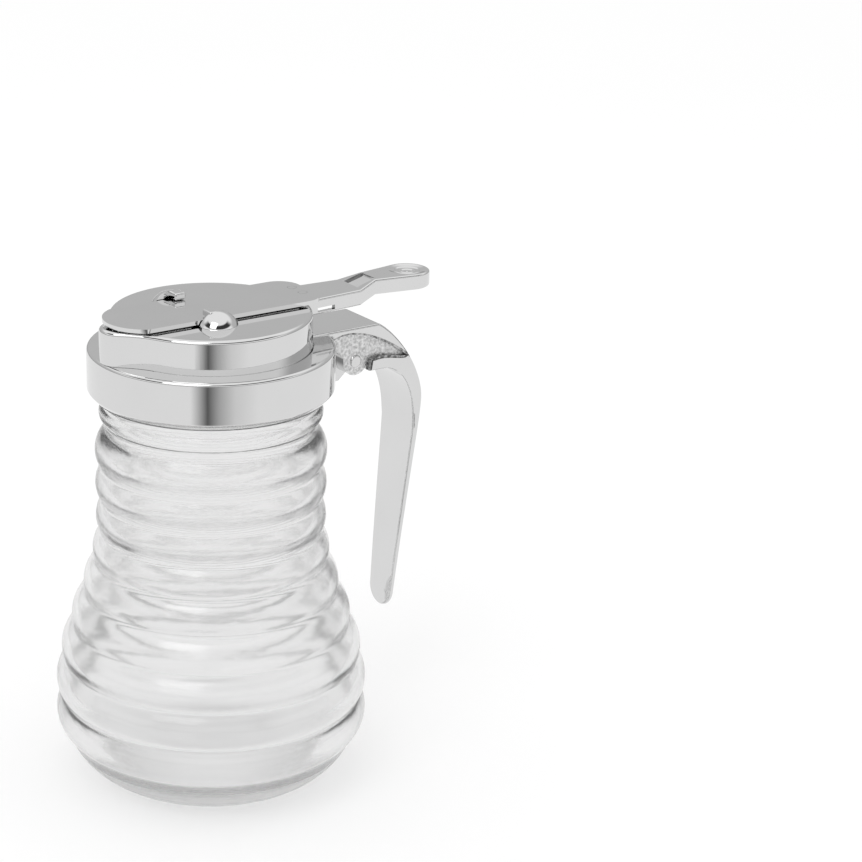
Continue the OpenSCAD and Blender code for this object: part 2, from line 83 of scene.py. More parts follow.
class JarSizes(bpy.types.PropertyGroup):
    """Sizes of the glass jar, in millimetres."""
    waist: FloatProperty(name="Waist", description="Radius over the waist's ribs", default=26.1)
    rib_count: IntProperty(name="Ribs", description="Number of round ribs", default=9)
    rib_pitch: FloatProperty(name="Rib pitch", description="Height from rib to rib", default=7.95)
    rib_round: FloatProperty(name="Rib round", description="Radius of a rib's section", default=6.2)
    groove: FloatProperty(name="Groove", description="Fillet between two ribs", default=0.9)
    first_rib: FloatProperty(name="First rib", description="Height of the lowest crest", default=15.7)
    heel: FloatProperty(name="Heel", description="Radius of the heel's section", default=16.0)
    heel_inset: FloatProperty(name="Heel inset", description="Heel's side inside the crests", default=1.5)
    wall: FloatProperty(name="Wall", description="Glass thickness at a crest", default=3.0)
    ripple: FloatProperty(name="Ripple", description="Depth of the ribs' print inside", default=1.2)
    floor: FloatProperty(name="Floor", description="Glass thickness of the floor", default=7.0)
    neck: FloatProperty(name="Neck", description="Radius of the neck", default=24.3)
    bead: FloatProperty(name="Bead", description="Radius of the bead's section", default=2.3)


class HeadSizes(bpy.types.PropertyGroup):
    """Sizes of the chromed head, in millimetres."""
    collar_height: FloatProperty(name="Collar", description="Height of the screw collar", default=11.0)
    body_radius: FloatProperty(name="Body", description="Radius of the spout body", default=22.5)
    beak_radius: FloatProperty(name="Beak", description="Radius of the beak's front", default=5.2)
    beak_reach: FloatProperty(name="Reach", description="How far the beak stands out", default=4.9)
    blend: FloatProperty(name="Blend", description="Radius of the beak's hollow flanks", default=20.0)
    pour_radius: FloatProperty(name="Pour hole", description="Radius of the pour hole", default=4.2)
    land: FloatProperty(name="Land", description="Height of the land under the plate", default=0.3)
    dome_radius: FloatProperty(name="Dome", description="Radius of a guide's dome", default=4.9)
    dome_place: FloatProperty(name="Dome place", description="Far dome's place on the slide", default=-4.9)
    dome_stagger: FloatProperty(name="Stagger", description="From the far to the near dome", default=1.1)
    spring_wire: FloatProperty(name="Wire", description="Thickness of the spring's wire", default=0.45)
    spring_turns: IntProperty(name="Turns", description="Turns of the spring", default=12)
    gate_travel: FloatProperty(name="Travel", description="How far the gate slides back", default=12.0)
    handle_width: FloatProperty(name="Handle", description="Half width of the handle", default=7.0)
    tip_width: FloatProperty(name="Tip", description="Half width of the handle's tip", default=4.4)


class Finishes(bpy.types.PropertyGroup):
    """Colours of the finishes."""
    chrome: FloatVectorProperty(
        name="Chrome", description="Colour of the bright plating", subtype="COLOR", size=4, min=0, max=1,
        default=linear("dfdfdf"))
    glass: FloatVectorProperty(
        name="Glass", description="Tint of the pressed glass", subtype="COLOR", size=4, min=0, max=1,
        default=linear("fcfcfc"))
    seal: FloatVectorProperty(
        name="Seal", description="Colour of the sealing ring", subtype="COLOR", size=4, min=0, max=1,
        default=linear("e6e5df"))


# Modelling by hand: outlines, spins, pushes, cuts and rounded edges

def select_nothing():
    """Leaves edit mode and deselects every object."""
    if bpy.context.object and bpy.context.object.mode != "OBJECT":
        bpy.ops.object.mode_set(mode="OBJECT")
    bpy.ops.object.select_all(action="DESELECT")


def pick(piece):
    """Selects one piece alone and makes it the active one."""
    select_nothing()
    bpy.context.view_layer.objects.active = piece
    piece.select_set(True)


def apply_modifier(piece, kind, **settings):
    """Adds a modifier with its settings to the picked piece, and applies it."""
    bpy.ops.object.modifier_add(type=kind)
    modifier = piece.modifiers[-1]
    for name, value in settings.items():
        setattr(modifier, name, value)
    bpy.ops.object.modifier_apply(modifier=modifier.name)


def draw_outline(name, points):
    """Draws a line through points in millimetres, and leaves it selected in edit mode."""
    select_nothing()
    corners = [Vector(point) * MM for point in points]
    bpy.ops.mesh.primitive_plane_add(size=MM, location=corners[0])
    piece = bpy.context.object
    piece.name = name
    piece.data.name = name
    bpy.ops.object.mode_set(mode="EDIT")
    bpy.ops.mesh.merge(type="CENTER")
    for start, end in zip(corners, corners[1:]):
        bpy.ops.mesh.extrude_vertices_move(TRANSFORM_OT_translate={"value": end - start})
    bpy.ops.mesh.select_all(action="SELECT")
    return piece


def close_up(piece):
    """Merges doubled points, turns the faces outwards and puts the origin at the frame's origin."""
    bpy.ops.mesh.select_all(action="SELECT")
    bpy.ops.mesh.remove_doubles(threshold=2e-6)
    bpy.ops.mesh.normals_make_consistent(inside=False)
    bpy.ops.object.mode_set(mode="OBJECT")
    bpy.ops.object.transform_apply(location=True, rotation=True, scale=True)
    return piece


def spun(name, outline, steps, centre=(0, 0, 0), axis="Z"):
    """Turns an outline of (radius, height) round a line through centre, along Z or along Y."""
    x, y, z = centre
    if axis == "Z":
        points = [(x + r, y, z + h) for r, h in outline]
        direction = (0, 0, 1)
    else:
        points = [(x + r, y + h, z) for r, h in outline]
        direction = (0, 1, 0)
    piece = draw_outline(name, points)
    bpy.ops.mesh.spin(steps=steps, angle=math.tau, center=Vector(centre) * MM, axis=direction)
    return close_up(piece)


def pushed(name, outline, push):
    """Fills a closed outline and pushes it out into a solid, in millimetres."""
    piece = draw_outline(name, list(outline) + [outline[0]])
    bpy.ops.mesh.remove_doubles(threshold=2e-6)
    bpy.ops.mesh.edge_face_add()
    bpy.ops.mesh.extrude_region_move(TRANSFORM_OT_translate={"value": Vector(push) * MM})
    return close_up(piece)


def plan(name, outline, bottom, top):
    """A solid with a plan outline of (x, y)."""
    return pushed(name, [(x, y, bottom) for x, y in outline], (0, 0, top - bottom))


def side(name, outline, half, start=None):
    """A solid with a side outline of (x, z), along Y."""
    start = -half if start is None else start
    return pushed(name, [(x, start, z) for x, z in outline], (0, half - start, 0))


def block(name, corner, opposite):
    """A box between two corners, to cut or join with."""
    (x, y, z), (xx, yy, zz) = corner, opposite
    return plan(name, [(x, y), (xx, y), (xx, yy), (x, yy)], z, zz)


def drum(name, radius, bottom, top, steps, centre=(0, 0, 0)):
    """An upright round bar, to cut with."""
    return spun(name, [(0, bottom), (radius, bottom), (radius, top), (0, top)], steps, centre)


def combine(piece, tool, operation="DIFFERENCE"):
    """Cuts the tool out of the piece, or joins or crosses them, and throws the tool away."""
    pick(piece)
    apply_modifier(piece, "BOOLEAN", operation=operation, solver="MANIFOLD", object=tool)
    bpy.data.objects.remove(tool)
    return piece


def round_edges(piece, width, segments=3, angle=35, clamp=True):
    """Rounds the piece's hard edges, and keeps its flats flat."""
    pick(piece)
    bpy.ops.object.mode_set(mode="EDIT")
    bpy.ops.mesh.select_all(action="SELECT")
    bpy.ops.mesh.remove_doubles(threshold=1e-6)
    bpy.ops.mesh.dissolve_limited(angle_limit=math.radians(0.2))
    bpy.ops.object.mode_set(mode="OBJECT")
    apply_modifier(piece, "BEVEL", limit_method="ANGLE", angle_limit=math.radians(angle), width=width * MM,
                   segments=segments, use_clamp_overlap=clamp)
    bpy.ops.object.shade_smooth_by_angle(angle=math.radians(40))
    apply_modifier(piece, "WEIGHTED_NORMAL", keep_sharp=True, weight=60)
    return piece


def smooth(piece, angle=50):
    """Shades the piece smooth, but for its sharpest edges."""
    pick(piece)
    bpy.ops.object.shade_smooth_by_angle(angle=math.radians(angle))
    return piece


def settle(piece, body, slot, finish, *nodes):
    """Gives a piece its finish, its body and the CAD nodes that it stands for."""
    piece.data.materials.clear()
    piece.data.materials.append(finish_of(finish))
    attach(piece, body)
    if nodes:
        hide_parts(*nodes)
    return piece


# Curves that the outlines are drawn with

def arc(centre, radius, start, end, step):
    """Points round a centre from one angle to another, in degrees."""
    count = max(2, math.ceil(abs(end - start) / step))
    angles = [math.radians(start + (end - start) * i / count) for i in range(count + 1)]
    return [(centre[0] + radius * math.cos(a), centre[1] + radius * math.sin(a)) for a in angles]


def curve(a, b, c, d, steps):
    """Points along a cubic curve with two handles."""
    points = []
    for i in range(steps + 1):
        t = i / steps
        s = 1 - t
        weights = (s ** 3, 3 * s * s * t, 3 * s * t * t, t ** 3)
        points.append(tuple(sum(w * p[k] for w, p in zip(weights, (a, b, c, d))) for k in (0, 1)))
    return points


def offset_line(line, start_gap, end_gap):
    """The line moved to its right hand side by a gap that changes steadily from start to end."""
    moved = []
    last = len(line) - 1
    for i, (x, y) in enumerate(line):
        ahead = line[min(i + 1, last)]
        behind = line[max(i - 1, 0)]
        run = Vector((ahead[0] - behind[0], ahead[1] - behind[1])).normalized()
        gap = start_gap + (end_gap - start_gap) * i / last
        moved.append((x + gap * run.y, y - gap * run.x))
    return moved


def angle_to(centre, point):
    """Direction from a centre to a point, in degrees."""
    return math.degrees(math.atan2(point[1] - centre[1], point[0] - centre[0]))


def blend_centre(a, ra, b, rb, fillet):
    """Centre of the fillet that touches two circles from outside, to the right of a to b."""
    gap = math.dist(a, b)
    ux, uy = (b[0] - a[0]) / gap, (b[1] - a[1]) / gap
    along = ((ra + fillet) ** 2 - (rb + fillet) ** 2 + gap * gap) / (2 * gap)
    out = math.sqrt((ra + fillet) ** 2 - along * along)
    return (a[0] + along * ux + out * uy, a[1] + along * uy - out * ux)


def round_chain(circles, fillets, first_angle, last_angle, step):
    """An outline along round bulges, with a fillet in each groove between them."""
    points = []
    start = first_angle
    for i, (centre, radius) in enumerate(circles):
        if i == len(circles) - 1:
            points += arc(centre, radius, start, start + (last_angle - start) % 360, step)
            break
        after, after_radius = circles[i + 1]
        hollow = blend_centre(centre, radius, after, after_radius, fillets[i])
        leave = angle_to(centre, hollow)
        points += arc(centre, radius, start, start + (leave - start) % 360, step)
        turn_from = angle_to(hollow, centre)
        turn_to = turn_from - (turn_from - angle_to(hollow, after)) % 360
        points += arc(hollow, fillets[i], turn_from, turn_to, 3 * step)[1:-1]
        start = angle_to(after, hollow)
    return points


# Finishes

def add_node(tree, kind, inputs=None, **settings):
    """Adds a node with its settings, and sets or links its inputs."""
    made = tree.nodes.new(kind)
    for name, value in settings.items():
        setattr(made, name, value)
    for name, value in (inputs or {}).items():
        if isinstance(value, bpy.types.NodeSocket):
            tree.links.new(value, made.inputs[name])
        else:
            made.inputs[name].default_value = value
    return made


def new_material(name):
    """An empty material, the function that adds its nodes, and its Object coordinates."""
    material = bpy.data.materials.new(name)
    material.use_nodes = True
    material.node_tree.nodes.clear()
    node = partial(add_node, material.node_tree)
    return material, node, node("ShaderNodeTexCoord").outputs["Object"]


def bright_chrome(name, colour, waviness):
    """Decorative chrome on a polished casting: a mirror, very slightly uneven, with faint wiping haze."""
    material, node, place = new_material(name)
    # A wiping cloth leaves haze in patches about 12 mm across
    haze = node("ShaderNodeTexNoise", {"Vector": place, "Scale": 1 / (12 * MM), "Detail": 4.0})
    roughness = node("ShaderNodeMapRange", {
        "Value": haze.outputs["Fac"], "From Min": 0.3, "From Max": 0.75, "To Min": 0.025, "To Max": 0.075})
    shade = node("ShaderNodeMapRange", {
        "Value": haze.outputs["Fac"], "From Min": 0.3, "From Max": 0.7, "To Min": 0.97, "To Max": 1.0})
    tint = node("ShaderNodeMix", {
        "A": (0, 0, 0, 1), "B": colour, "Factor": shade.outputs["Result"]}, data_type="RGBA")
    # The plating follows the soft unevenness of the metal under it, about 5 mm from hill to hill
    waves = node("ShaderNodeTexNoise", {"Vector": place, "Scale": 1 / (5 * MM), "Detail": 1.0})
    bump = node("ShaderNodeBump", {
        "Height": waves.outputs["Fac"], "Strength": waviness, "Distance": 0.2 * MM})
    metal = node("ShaderNodeBsdfPrincipled", {
        "Metallic": 1.0, "Base Color": tint.outputs["Result"], "Roughness": roughness.outputs["Result"],
        "Normal": bump.outputs["Normal"]})
    node("ShaderNodeOutputMaterial", {"Surface": metal.outputs["BSDF"]})
    return material


def cast_skin(name, dark, light):
    """Plating over rough cast skin: darker than the polished metal, matt and grainy; in its darkest tones it
    also paints shade.
    """
    material, node, place = new_material(name)
    # The sand or the worn mould leaves grains about 0.7 mm across
    grains = node("ShaderNodeTexNoise", {"Vector": place, "Scale": 1 / (0.7 * MM), "Detail": 3.0})
    tone = node("ShaderNodeMapRange", {
        "Value": grains.outputs["Fac"], "From Min": 0.35, "From Max": 0.65})
    colour = node("ShaderNodeMix", {
        "Factor": tone.outputs["Result"], "A": linear(dark), "B": linear(light)}, data_type="RGBA")
    bump = node("ShaderNodeBump", {
        "Height": grains.outputs["Fac"], "Strength": 0.6, "Distance": 0.15 * MM})
    metal = node("ShaderNodeBsdfPrincipled", {
        "Metallic": 1.0, "Base Color": colour.outputs["Result"], "Roughness": 0.4,
        "Normal": bump.outputs["Normal"]})
    node("ShaderNodeOutputMaterial", {"Surface": metal.outputs["BSDF"]})
    return material


def pressed_glass(name, colour):
    """Clear soda glass from a mould: colourless, with the slow ripples of pressing in its surface."""
    material, node, place = new_material(name)
    # Ripples run round the jar, about 9 mm long and 3 mm high
    stretch = node("ShaderNodeMapping", {"Vector": place, "Scale": (1.0, 1.0, 2.6)})
    ripples = node("ShaderNodeTexNoise", {
        "Vector": stretch.outputs["Vector"], "Scale": 1 / (9 * MM), "Detail": 2.0})
    # The heel, which the mould leaves ringed and hazy, up to 12 mm above the table
    height = node("ShaderNodeSeparateXYZ", {"Vector": place}).outputs["Z"]
    heel = node("ShaderNodeMapRange", {
        "Value": height, "From Min": 4 * MM, "From Max": 12 * MM, "To Min": 1.0, "To Max": 0.0})
    share = heel.outputs["Result"]
    # A wave texture makes a ring every 0.314 / scale, here every 1.3 mm
    rings = node("ShaderNodeTexWave", {
        "Vector": place, "Scale": 0.314 / (1.3 * MM), "Distortion": 0.6}, bands_direction="Z")
    marks = node("ShaderNodeMath", {0: rings.outputs["Fac"], 1: share}, operation="MULTIPLY")
    relief = node("ShaderNodeMath", {
        0: marks.outputs["Value"], 1: 0.35, 2: ripples.outputs["Fac"]}, operation="MULTIPLY_ADD")
    roughness = node("ShaderNodeMapRange", {"Value": share, "To Min": 0.15, "To Max": 0.4})
    bump = node("ShaderNodeBump", {
        "Height": relief.outputs["Value"], "Strength": 0.25, "Distance": 0.4 * MM})
    glass = node("ShaderNodeBsdfPrincipled", {
        "Base Color": colour, "Transmission Weight": 1.0, "IOR": 1.45,
        "Roughness": roughness.outputs["Result"], "Normal": bump.outputs["Normal"]})
    node("ShaderNodeOutputMaterial", {"Surface": glass.outputs["BSDF"]})
    return material


def soft_silicone(name, colour):
    """Moulded silicone rubber: milky, with a fine matt grain and a little light passing through."""
    material, node, place = new_material(name)
    grain = node("ShaderNodeTexNoise", {"Vector": place, "Scale": 1 / (0.6 * MM), "Detail": 3.0})
    bump = node("ShaderNodeBump", {
        "Height": grain.outputs["Fac"], "Strength": 0.4, "Distance": 0.05 * MM})
    rubber = node("ShaderNodeBsdfPrincipled", {
        "Base Color": colour, "Roughness": 0.55, "Subsurface Weight": 0.2, "Subsurface Scale": 2 * MM,
        "Normal": bump.outputs["Normal"]})
    node("ShaderNodeOutputMaterial", {"Surface": rubber.outputs["BSDF"]})
    return material


def drawn_wire(name):
    """Hard drawn spring steel: grey, with fine marks of the die."""
    material, node, place = new_material(name)
    marks = node("ShaderNodeTexNoise", {"Vector": place, "Scale": 1 / (0.2 * MM), "Detail": 2.0})
    roughness = node("ShaderNodeMapRange", {
        "Value": marks.outputs["Fac"], "To Min": 0.22, "To Max": 0.4})
    steel = node("ShaderNodeBsdfPrincipled", {
        "Metallic": 1.0, "Base Color": linear("a9a8a6"), "Roughness": roughness.outputs["Result"]})
    node("ShaderNodeOutputMaterial", {"Surface": steel.outputs["BSDF"]})
    return material


def finish_of(name):
    """The named finish, made once."""
    colours = bpy.context.scene.honey_finishes
    chrome, glass, seal = tuple(colours.chrome), tuple(colours.glass), tuple(colours.seal)
    maker, *values = {
        "chrome_plated_collar": (bright_chrome, chrome, 0.04),
        "chrome_plated_plate": (bright_chrome, chrome, 0.03),
        "chrome_plated_casting": (bright_chrome, chrome, 0.12),
        # Dark cast skin: partly the real unbuffed skin, partly painted shade along the handle's recess
        "as_cast_skin": (cast_skin, "626262", "cccccc"),
        "satin_cast_skin": (cast_skin, "b8b8b8", "f0f0f0"),
        "pressed_soda_glass": (pressed_glass, glass),
        "milky_silicone": (soft_silicone, seal),
        "drawn_spring_steel": (drawn_wire,),
    }[name]
    return bpy.data.materials.get(name) or maker(name, *values)


# Places and sizes that several pieces share, in millimetres

RIM_Z = high("glass_jar").z
BELLY_R = high("glass_jar").x
COLLAR_Z = high("screw_collar").z
COLLAR_R = -low("screw_collar").x
LIP_LOW = COLLAR_Z - 1.1      # underside of the collar's lip
BRIDGE_LOW = COLLAR_Z - 1.05  # underside of the handle's bridge
FLANGE_Z = low("spout_body").z
FLANGE_T = 1.3
DECK_Z = high("spout_body").z - 0.3  # the land stands 0.3 above the deck
PLATE_LOW = low("gate_plate")
PLATE_HIGH = high("gate_plate")
PLATE_Z = high("gate_plate").z - 0.9
NOSE_R = 9.8
TAB_BACK = 15.8               # from the plate's nose back to the spring's tab
LEVER_LOW = low("thumb_lever")
LEVER_HIGH = high("thumb_lever")
PAD_R = 5.2
PAD_X = LEVER_HIGH.x - PAD_R
THROAT_X = PAD_X - 11
RAMP_X = THROAT_X - 5.1
HANDLE_LOW = low("handle")
HANDLE_HIGH = high("handle")
TOE_DEPTH = 1.5
TOE_HALF = 4
PIN_X = (low("handle_pin").x + high("handle_pin").x) / 2
PIN_Z = (low("handle_pin").z + high("handle_pin").z) / 2
PIN_R = (high("handle_pin").x - low("handle_pin").x) / 2
EAR_R = 3.3
RECESS_DEPTH = 1.4
LEDGE_DEPTH = 0.35
LUG_HALF = 2.6
SNUG = 0.05                   # gap between two pieces that are fitted together
FREE = 0.3                    # gap round what moves
CAMERA_AZIMUTH = math.radians(-31)


def drill_rivets(piece):
    """Drills the holes that the two rivets fill."""
    radius, head_r = 1.05, 1.6
    x = (low("gate_rivets").x + high("gate_rivets").x) / 2
    y = high("gate_rivets").y - head_r
    for side_y in (-y, y):
        combine(piece, drum("rivet_hole", radius, LEVER_LOW.z, PLATE_HIGH.z + 1, 32, (x, side_y, 0)))


class HONEY_OT_glass_jar(bpy.types.Operator):
    """Spin the ribbed glass jar with its heel, bead, neck and softly rippled inside"""
    bl_idname = "honey.glass_jar"
    bl_label = "Glass Jar"

    def crest(self, sizes, count):
        """Radius over the crest of a rib, counted from the lowest: the belly narrows to the waist."""
        narrow_from, narrow_ribs = 0.65, 5.4
        share = max(0.0, min(1.0, (count - narrow_from) / narrow_ribs))
        return sizes.waist + (BELLY_R - sizes.waist) * (1 + math.cos(math.pi * share)) / 2

    def outside(self, sizes):
        """From the base's pushed-up middle round the heel and over the ribs to the bead."""
        heel_fillet, bead_fillet = 8.0, 2.2
        bead_out, bead_drop = 0.8, 11.7
        push_up = 0.9
        heel_centre = (BELLY_R - sizes.heel_inset - sizes.heel, sizes.heel)
        bead_centre = (sizes.neck + bead_out - sizes.bead, RIM_Z - bead_drop)
        ribs = [
            ((self.crest(sizes, i) - sizes.rib_round, sizes.first_rib + i * sizes.rib_pitch), sizes.rib_round)
            for i in range(sizes.rib_count)
        ]
        circles = [(heel_centre, sizes.heel)] + ribs + [(bead_centre, sizes.bead)]
        fillets = [heel_fillet] + [sizes.groove] * (sizes.rib_count - 1) + [bead_fillet]
        foot = heel_centre[0] - 1.5
        base = curve((0, push_up), (0.4 * foot, push_up), (0.8 * foot, 0.5), (foot, 0), 16)
        bead_end = math.degrees(math.acos((sizes.neck - bead_centre[0]) / sizes.bead))
        return base + round_chain(circles, fillets, -90, bead_end, 5.0)

    def neck_and_rim(self, sizes):
        """The neck with its thread band, and the rounded rim."""
        neck, mouth = sizes.neck, sizes.neck - sizes.wall
        band, band_low, band_high = neck + 1.2, RIM_Z - 6.5, RIM_Z - 1.8
        edge = 0.7
        return (
            [(neck, RIM_Z - 9.0), (neck, band_low - 1), (band, band_low), (band, band_high),
             (neck, RIM_Z - 1.2)]
            + arc((neck - edge, RIM_Z - edge), edge, 0, 90, 15)
            + arc((mouth + edge, RIM_Z - edge), edge, 90, 180, 15)
        )

    def inside(self, sizes):
        """From the mouth down over the ribs' soft print to the round foot of the well and the floor."""
        last, lowest = sizes.rib_count - 1, 0.9
        steps = 120
        well = 10.0
        line = [(sizes.neck - sizes.wall, RIM_Z - 11)]
        for i in range(steps + 1):
            count = last - (last - lowest) * i / steps
            ripple = sizes.ripple * (1 - math.cos(math.tau * count)) / 2
            line.append((self.crest(sizes, count) - sizes.wall - ripple,
                         sizes.first_rib + count * sizes.rib_pitch))
        line += arc((BELLY_R - sizes.wall - well, sizes.floor + well), well, 0, -90, 6)
        return line + [(0, sizes.floor)]

    def execute(self, context):
        sizes = context.scene.honey_jar
        outline = self.outside(sizes) + self.neck_and_rim(sizes) + self.inside(sizes)
        jar = smooth(spun("pressed_jar", outline, 160), 60)
        settle(jar, "jar", "glass", "pressed_soda_glass", "glass_jar")
        return {"FINISHED"}


class HONEY_OT_screw_collar(bpy.types.Operator):
    """Spin the screw collar and add the lug behind it"""
    bl_idname = "honey.screw_collar"
    bl_label = "Screw Collar"

    def ring_outline(self, foot, bore, hole):
        """Section of the ring: tucked foot, plain skirt, rounded top edge, and the lip with its hole."""
        tuck, tuck_round, skirt_round = 1.6, 0.25, 0.6
        edge, hole_edge = 0.8, 0.15
        return (
            [(bore, foot), (COLLAR_R - 1.5, foot)]
            + arc((COLLAR_R - tuck, foot + tuck_round), tuck_round, -80, -40, 20)
            + arc((COLLAR_R - skirt_round, foot + 1.9), skirt_round, -42, 0, 14)
            + arc((COLLAR_R - edge, COLLAR_Z - edge), edge, 0, 90, 7.5)
            + [(hole + hole_edge, COLLAR_Z), (hole, COLLAR_Z - hole_edge), (hole, LIP_LOW), (bore, LIP_LOW),
               (bore, foot)]
        )

    def lug_outline(self, foot, bore):
        """Side of the lug: set into the collar's wall, with an eye round the pin and a heel below."""
        eye, sunk = 2.9, 0.4
        top, bottom = LIP_LOW - 3, foot - 2.5
        return (
            [(bore + sunk, top), (COLLAR_R + 1.5, top)]
            + arc((PIN_X, PIN_Z), eye, 90, -90, 12)
            + [(PIN_X - 2.5, bottom), (COLLAR_R - sunk, bottom), (COLLAR_R - sunk, foot + 2),
               (bore + sunk, foot + 2)]
        )

    def execute(self, context):
        sizes = context.scene.honey_head
        foot = COLLAR_Z - sizes.collar_height
        wall = 1.8
        bore = COLLAR_R - wall
        hole = sizes.body_radius + 0.1
        collar = spun("collar_ring", self.ring_outline(foot, bore, hole), 192)
        bridge = sizes.handle_width + SNUG
        combine(collar, block("bridge_seat", (bore - 5, -bridge, LIP_LOW - 0.01),
                              (COLLAR_R + 1, bridge, COLLAR_Z + 1)))
        smooth(collar, 35)
        lug = side("collar_lug", self.lug_outline(foot, bore), LUG_HALF)
        round_edges(lug, 0.3)
        settle(collar, "head", "chrome", "chrome_plated_collar", "screw_collar")
        settle(lug, "head", "chrome", "chrome_plated_casting")
        return {"FINISHED"}


class HONEY_OT_spout_body(bpy.types.Operator):
    """Push up the spout body with its beak, and cut the cup, pour hole, spring channel and notch"""
    bl_idname = "honey.spout_body"
    bl_label = "Spout Body"

    def shell(self, sizes, beak_x):
        """The body with its beak, which hangs free over the collar, on the flange under the lip."""
        radius, foot = sizes.body_radius, COLLAR_Z + SNUG
        beak = ((beak_x, 0), sizes.beak_radius)
        outline = round_chain([beak, ((0, 0), radius), beak], [sizes.blend] * 2, 180, 180, 2.5)
        body = plan("spout_shell", outline[:-1], FLANGE_Z + 0.2, DECK_Z)
        round_edges(body, 0.9, 5)
        inner, outer = radius - 0.02, radius + 9
        under_beak = [(inner, FLANGE_Z), (outer, FLANGE_Z), (outer, foot), (inner, foot)]
        combine(body, spun("under_beak", under_beak + under_beak[:1], 128))
        flange_r, flange_top = COLLAR_R - 2.1, FLANGE_Z + FLANGE_T
        flange = spun("flange", [(0, FLANGE_Z), (flange_r, FLANGE_Z), (flange_r, flange_top),
                                 (radius, flange_top), (radius, foot + 0.5), (0, foot + 0.5)], 128)
        return combine(body, flange, "UNION")

    def add_land(self, body, sizes, rear):
        """Adds the low land under the gate plate, drawn in from the plate's edge."""
        drawn_in = 1.6
        land_r, half = NOSE_R - drawn_in, PLATE_HIGH.y - drawn_in
        flank = math.degrees(math.asin(half / land_r))
        land = plan("land", arc((PLATE_LOW.x + NOSE_R, 0), land_r, 180 - flank, 180 + flank, 2)
                    + [(rear + 1, -half), (rear + 1, half)], DECK_Z - 0.5, DECK_Z + sizes.land)
        round_edges(land, 0.15, 2)
        combine(body, land, "UNION")

    def add_channel(self, body, sizes, rear, cup):
        """Adds the walls round the spring and behind the lever's root, and cuts channel and notch."""
        wall = 1.4
        channel_low, channel_half = DECK_Z - 4.3, 2.2
        front = PLATE_LOW.x + (TAB_BACK - FREE)
        notch_low, notch_half = LEVER_LOW.z - FREE, LEVER_HIGH.y + FREE
        combine(body, block("pocket", (front - wall, -channel_half - wall, channel_low - wall),
                            (rear + wall, channel_half + wall, DECK_Z - 1)), "UNION")
        combine(body, block("rear_wall", (LEVER_LOW.x - 1.7, -notch_half - wall, notch_low - wall),
                            (cup, notch_half + wall, DECK_Z - 1)), "UNION")
        combine(body, block("channel", (front, -channel_half, channel_low), (rear, channel_half, DECK_Z + 1)))
        combine(body, block("notch", (LEVER_LOW.x - FREE, -notch_half, notch_low),
                            (sizes.body_radius + 2, notch_half, DECK_Z + 1)))

    def execute(self, context):
        sizes = context.scene.honey_head
        radius, cup = sizes.body_radius, sizes.body_radius - 2.2
        beak_x = -(radius + sizes.beak_reach - sizes.beak_radius)
        rear = LEVER_LOW.x - 2.1
        body = self.shell(sizes, beak_x)
        self.add_land(body, sizes, rear)
        combine(body, drum("cup", cup, FLANGE_Z - 1, DECK_Z - 2, 128))
        combine(body, drum("pour", sizes.pour_radius, COLLAR_Z + 1.2, DECK_Z + 1, 64, (beak_x + 1.8, 0, 0)))
        self.add_channel(body, sizes, rear, cup)
        toe_half = TOE_HALF + SNUG
        combine(body, block("toe_seat", (radius - (TOE_DEPTH + SNUG), -toe_half, FLANGE_Z + FLANGE_T),
                            (radius + 2, toe_half, HANDLE_HIGH.z + SNUG)))
        round_edges(body, 0.15, 2)
        settle(body, "head", "chrome", "chrome_plated_collar", "spout_body")
        return {"FINISHED"}


class HONEY_OT_guides(bpy.types.Operator):
    """Cut the two half domes and give each its finger over the gate plate"""
    bl_idname = "honey.guides"
    bl_label = "Gate Guides"

    def dome(self, sizes, open_y):
        """A hollow dome cut off at the deck and at the plate's side."""
        radius, inner = sizes.dome_radius, sizes.dome_radius - 1
        centre = (sizes.dome_place, open_y + 0.1, high("guide_far").z - radius)
        shell = ([(radius, -3)] + arc((0, 0), radius, 0, 90, 3) + [(0, inner)]
                 + arc((0, 0), inner, 90, 0, 3)[1:] + [(inner, -3)])
        dome = spun("guide_dome", shell + [shell[0]], 96, centre)
        combine(dome, block("below", (-40, -40, DECK_Z - 20), (40, 40, DECK_Z)))
        return combine(dome, block("plate_side", (-40, -40, DECK_Z - 20), (40, open_y, DECK_Z + 20)))

    def execute(self, context):
        sizes = context.scene.honey_head
        open_y = PLATE_HIGH.y + FREE
        dome = self.dome(sizes, open_y)
        finger_x, finger_z = sizes.dome_place - 0.5, PLATE_HIGH.z + 0.1
        finger_w, finger_t = 2.7, 1.6
        finger = block("finger", (finger_x, PLATE_HIGH.y - 2.5, finger_z),
                       (finger_x + finger_w, open_y + 0.6, finger_z + finger_t))
        round_edges(finger, 0.4, 3)
        combine(dome, finger, "UNION")
        round_edges(dome, 0.15, 3, 40)
        settle(dome, "head", "chrome", "chrome_plated_plate", "guide_far")
        pick(dome)
        bpy.ops.object.duplicate()
        near = bpy.context.object
        near.name = "guide_dome_near"
        bpy.ops.object.mode_set(mode="EDIT")
        bpy.ops.mesh.select_all(action="SELECT")
        middle = sizes.dome_place + sizes.dome_stagger / 2
        bpy.ops.transform.rotate(
            value=math.pi, orient_axis="Z", center_override=Vector((middle, 0, DECK_Z)) * MM)
        bpy.ops.object.mode_set(mode="OBJECT")
        settle(near, "head", "chrome", "chrome_plated_plate", "guide_near")
        return {"FINISHED"}


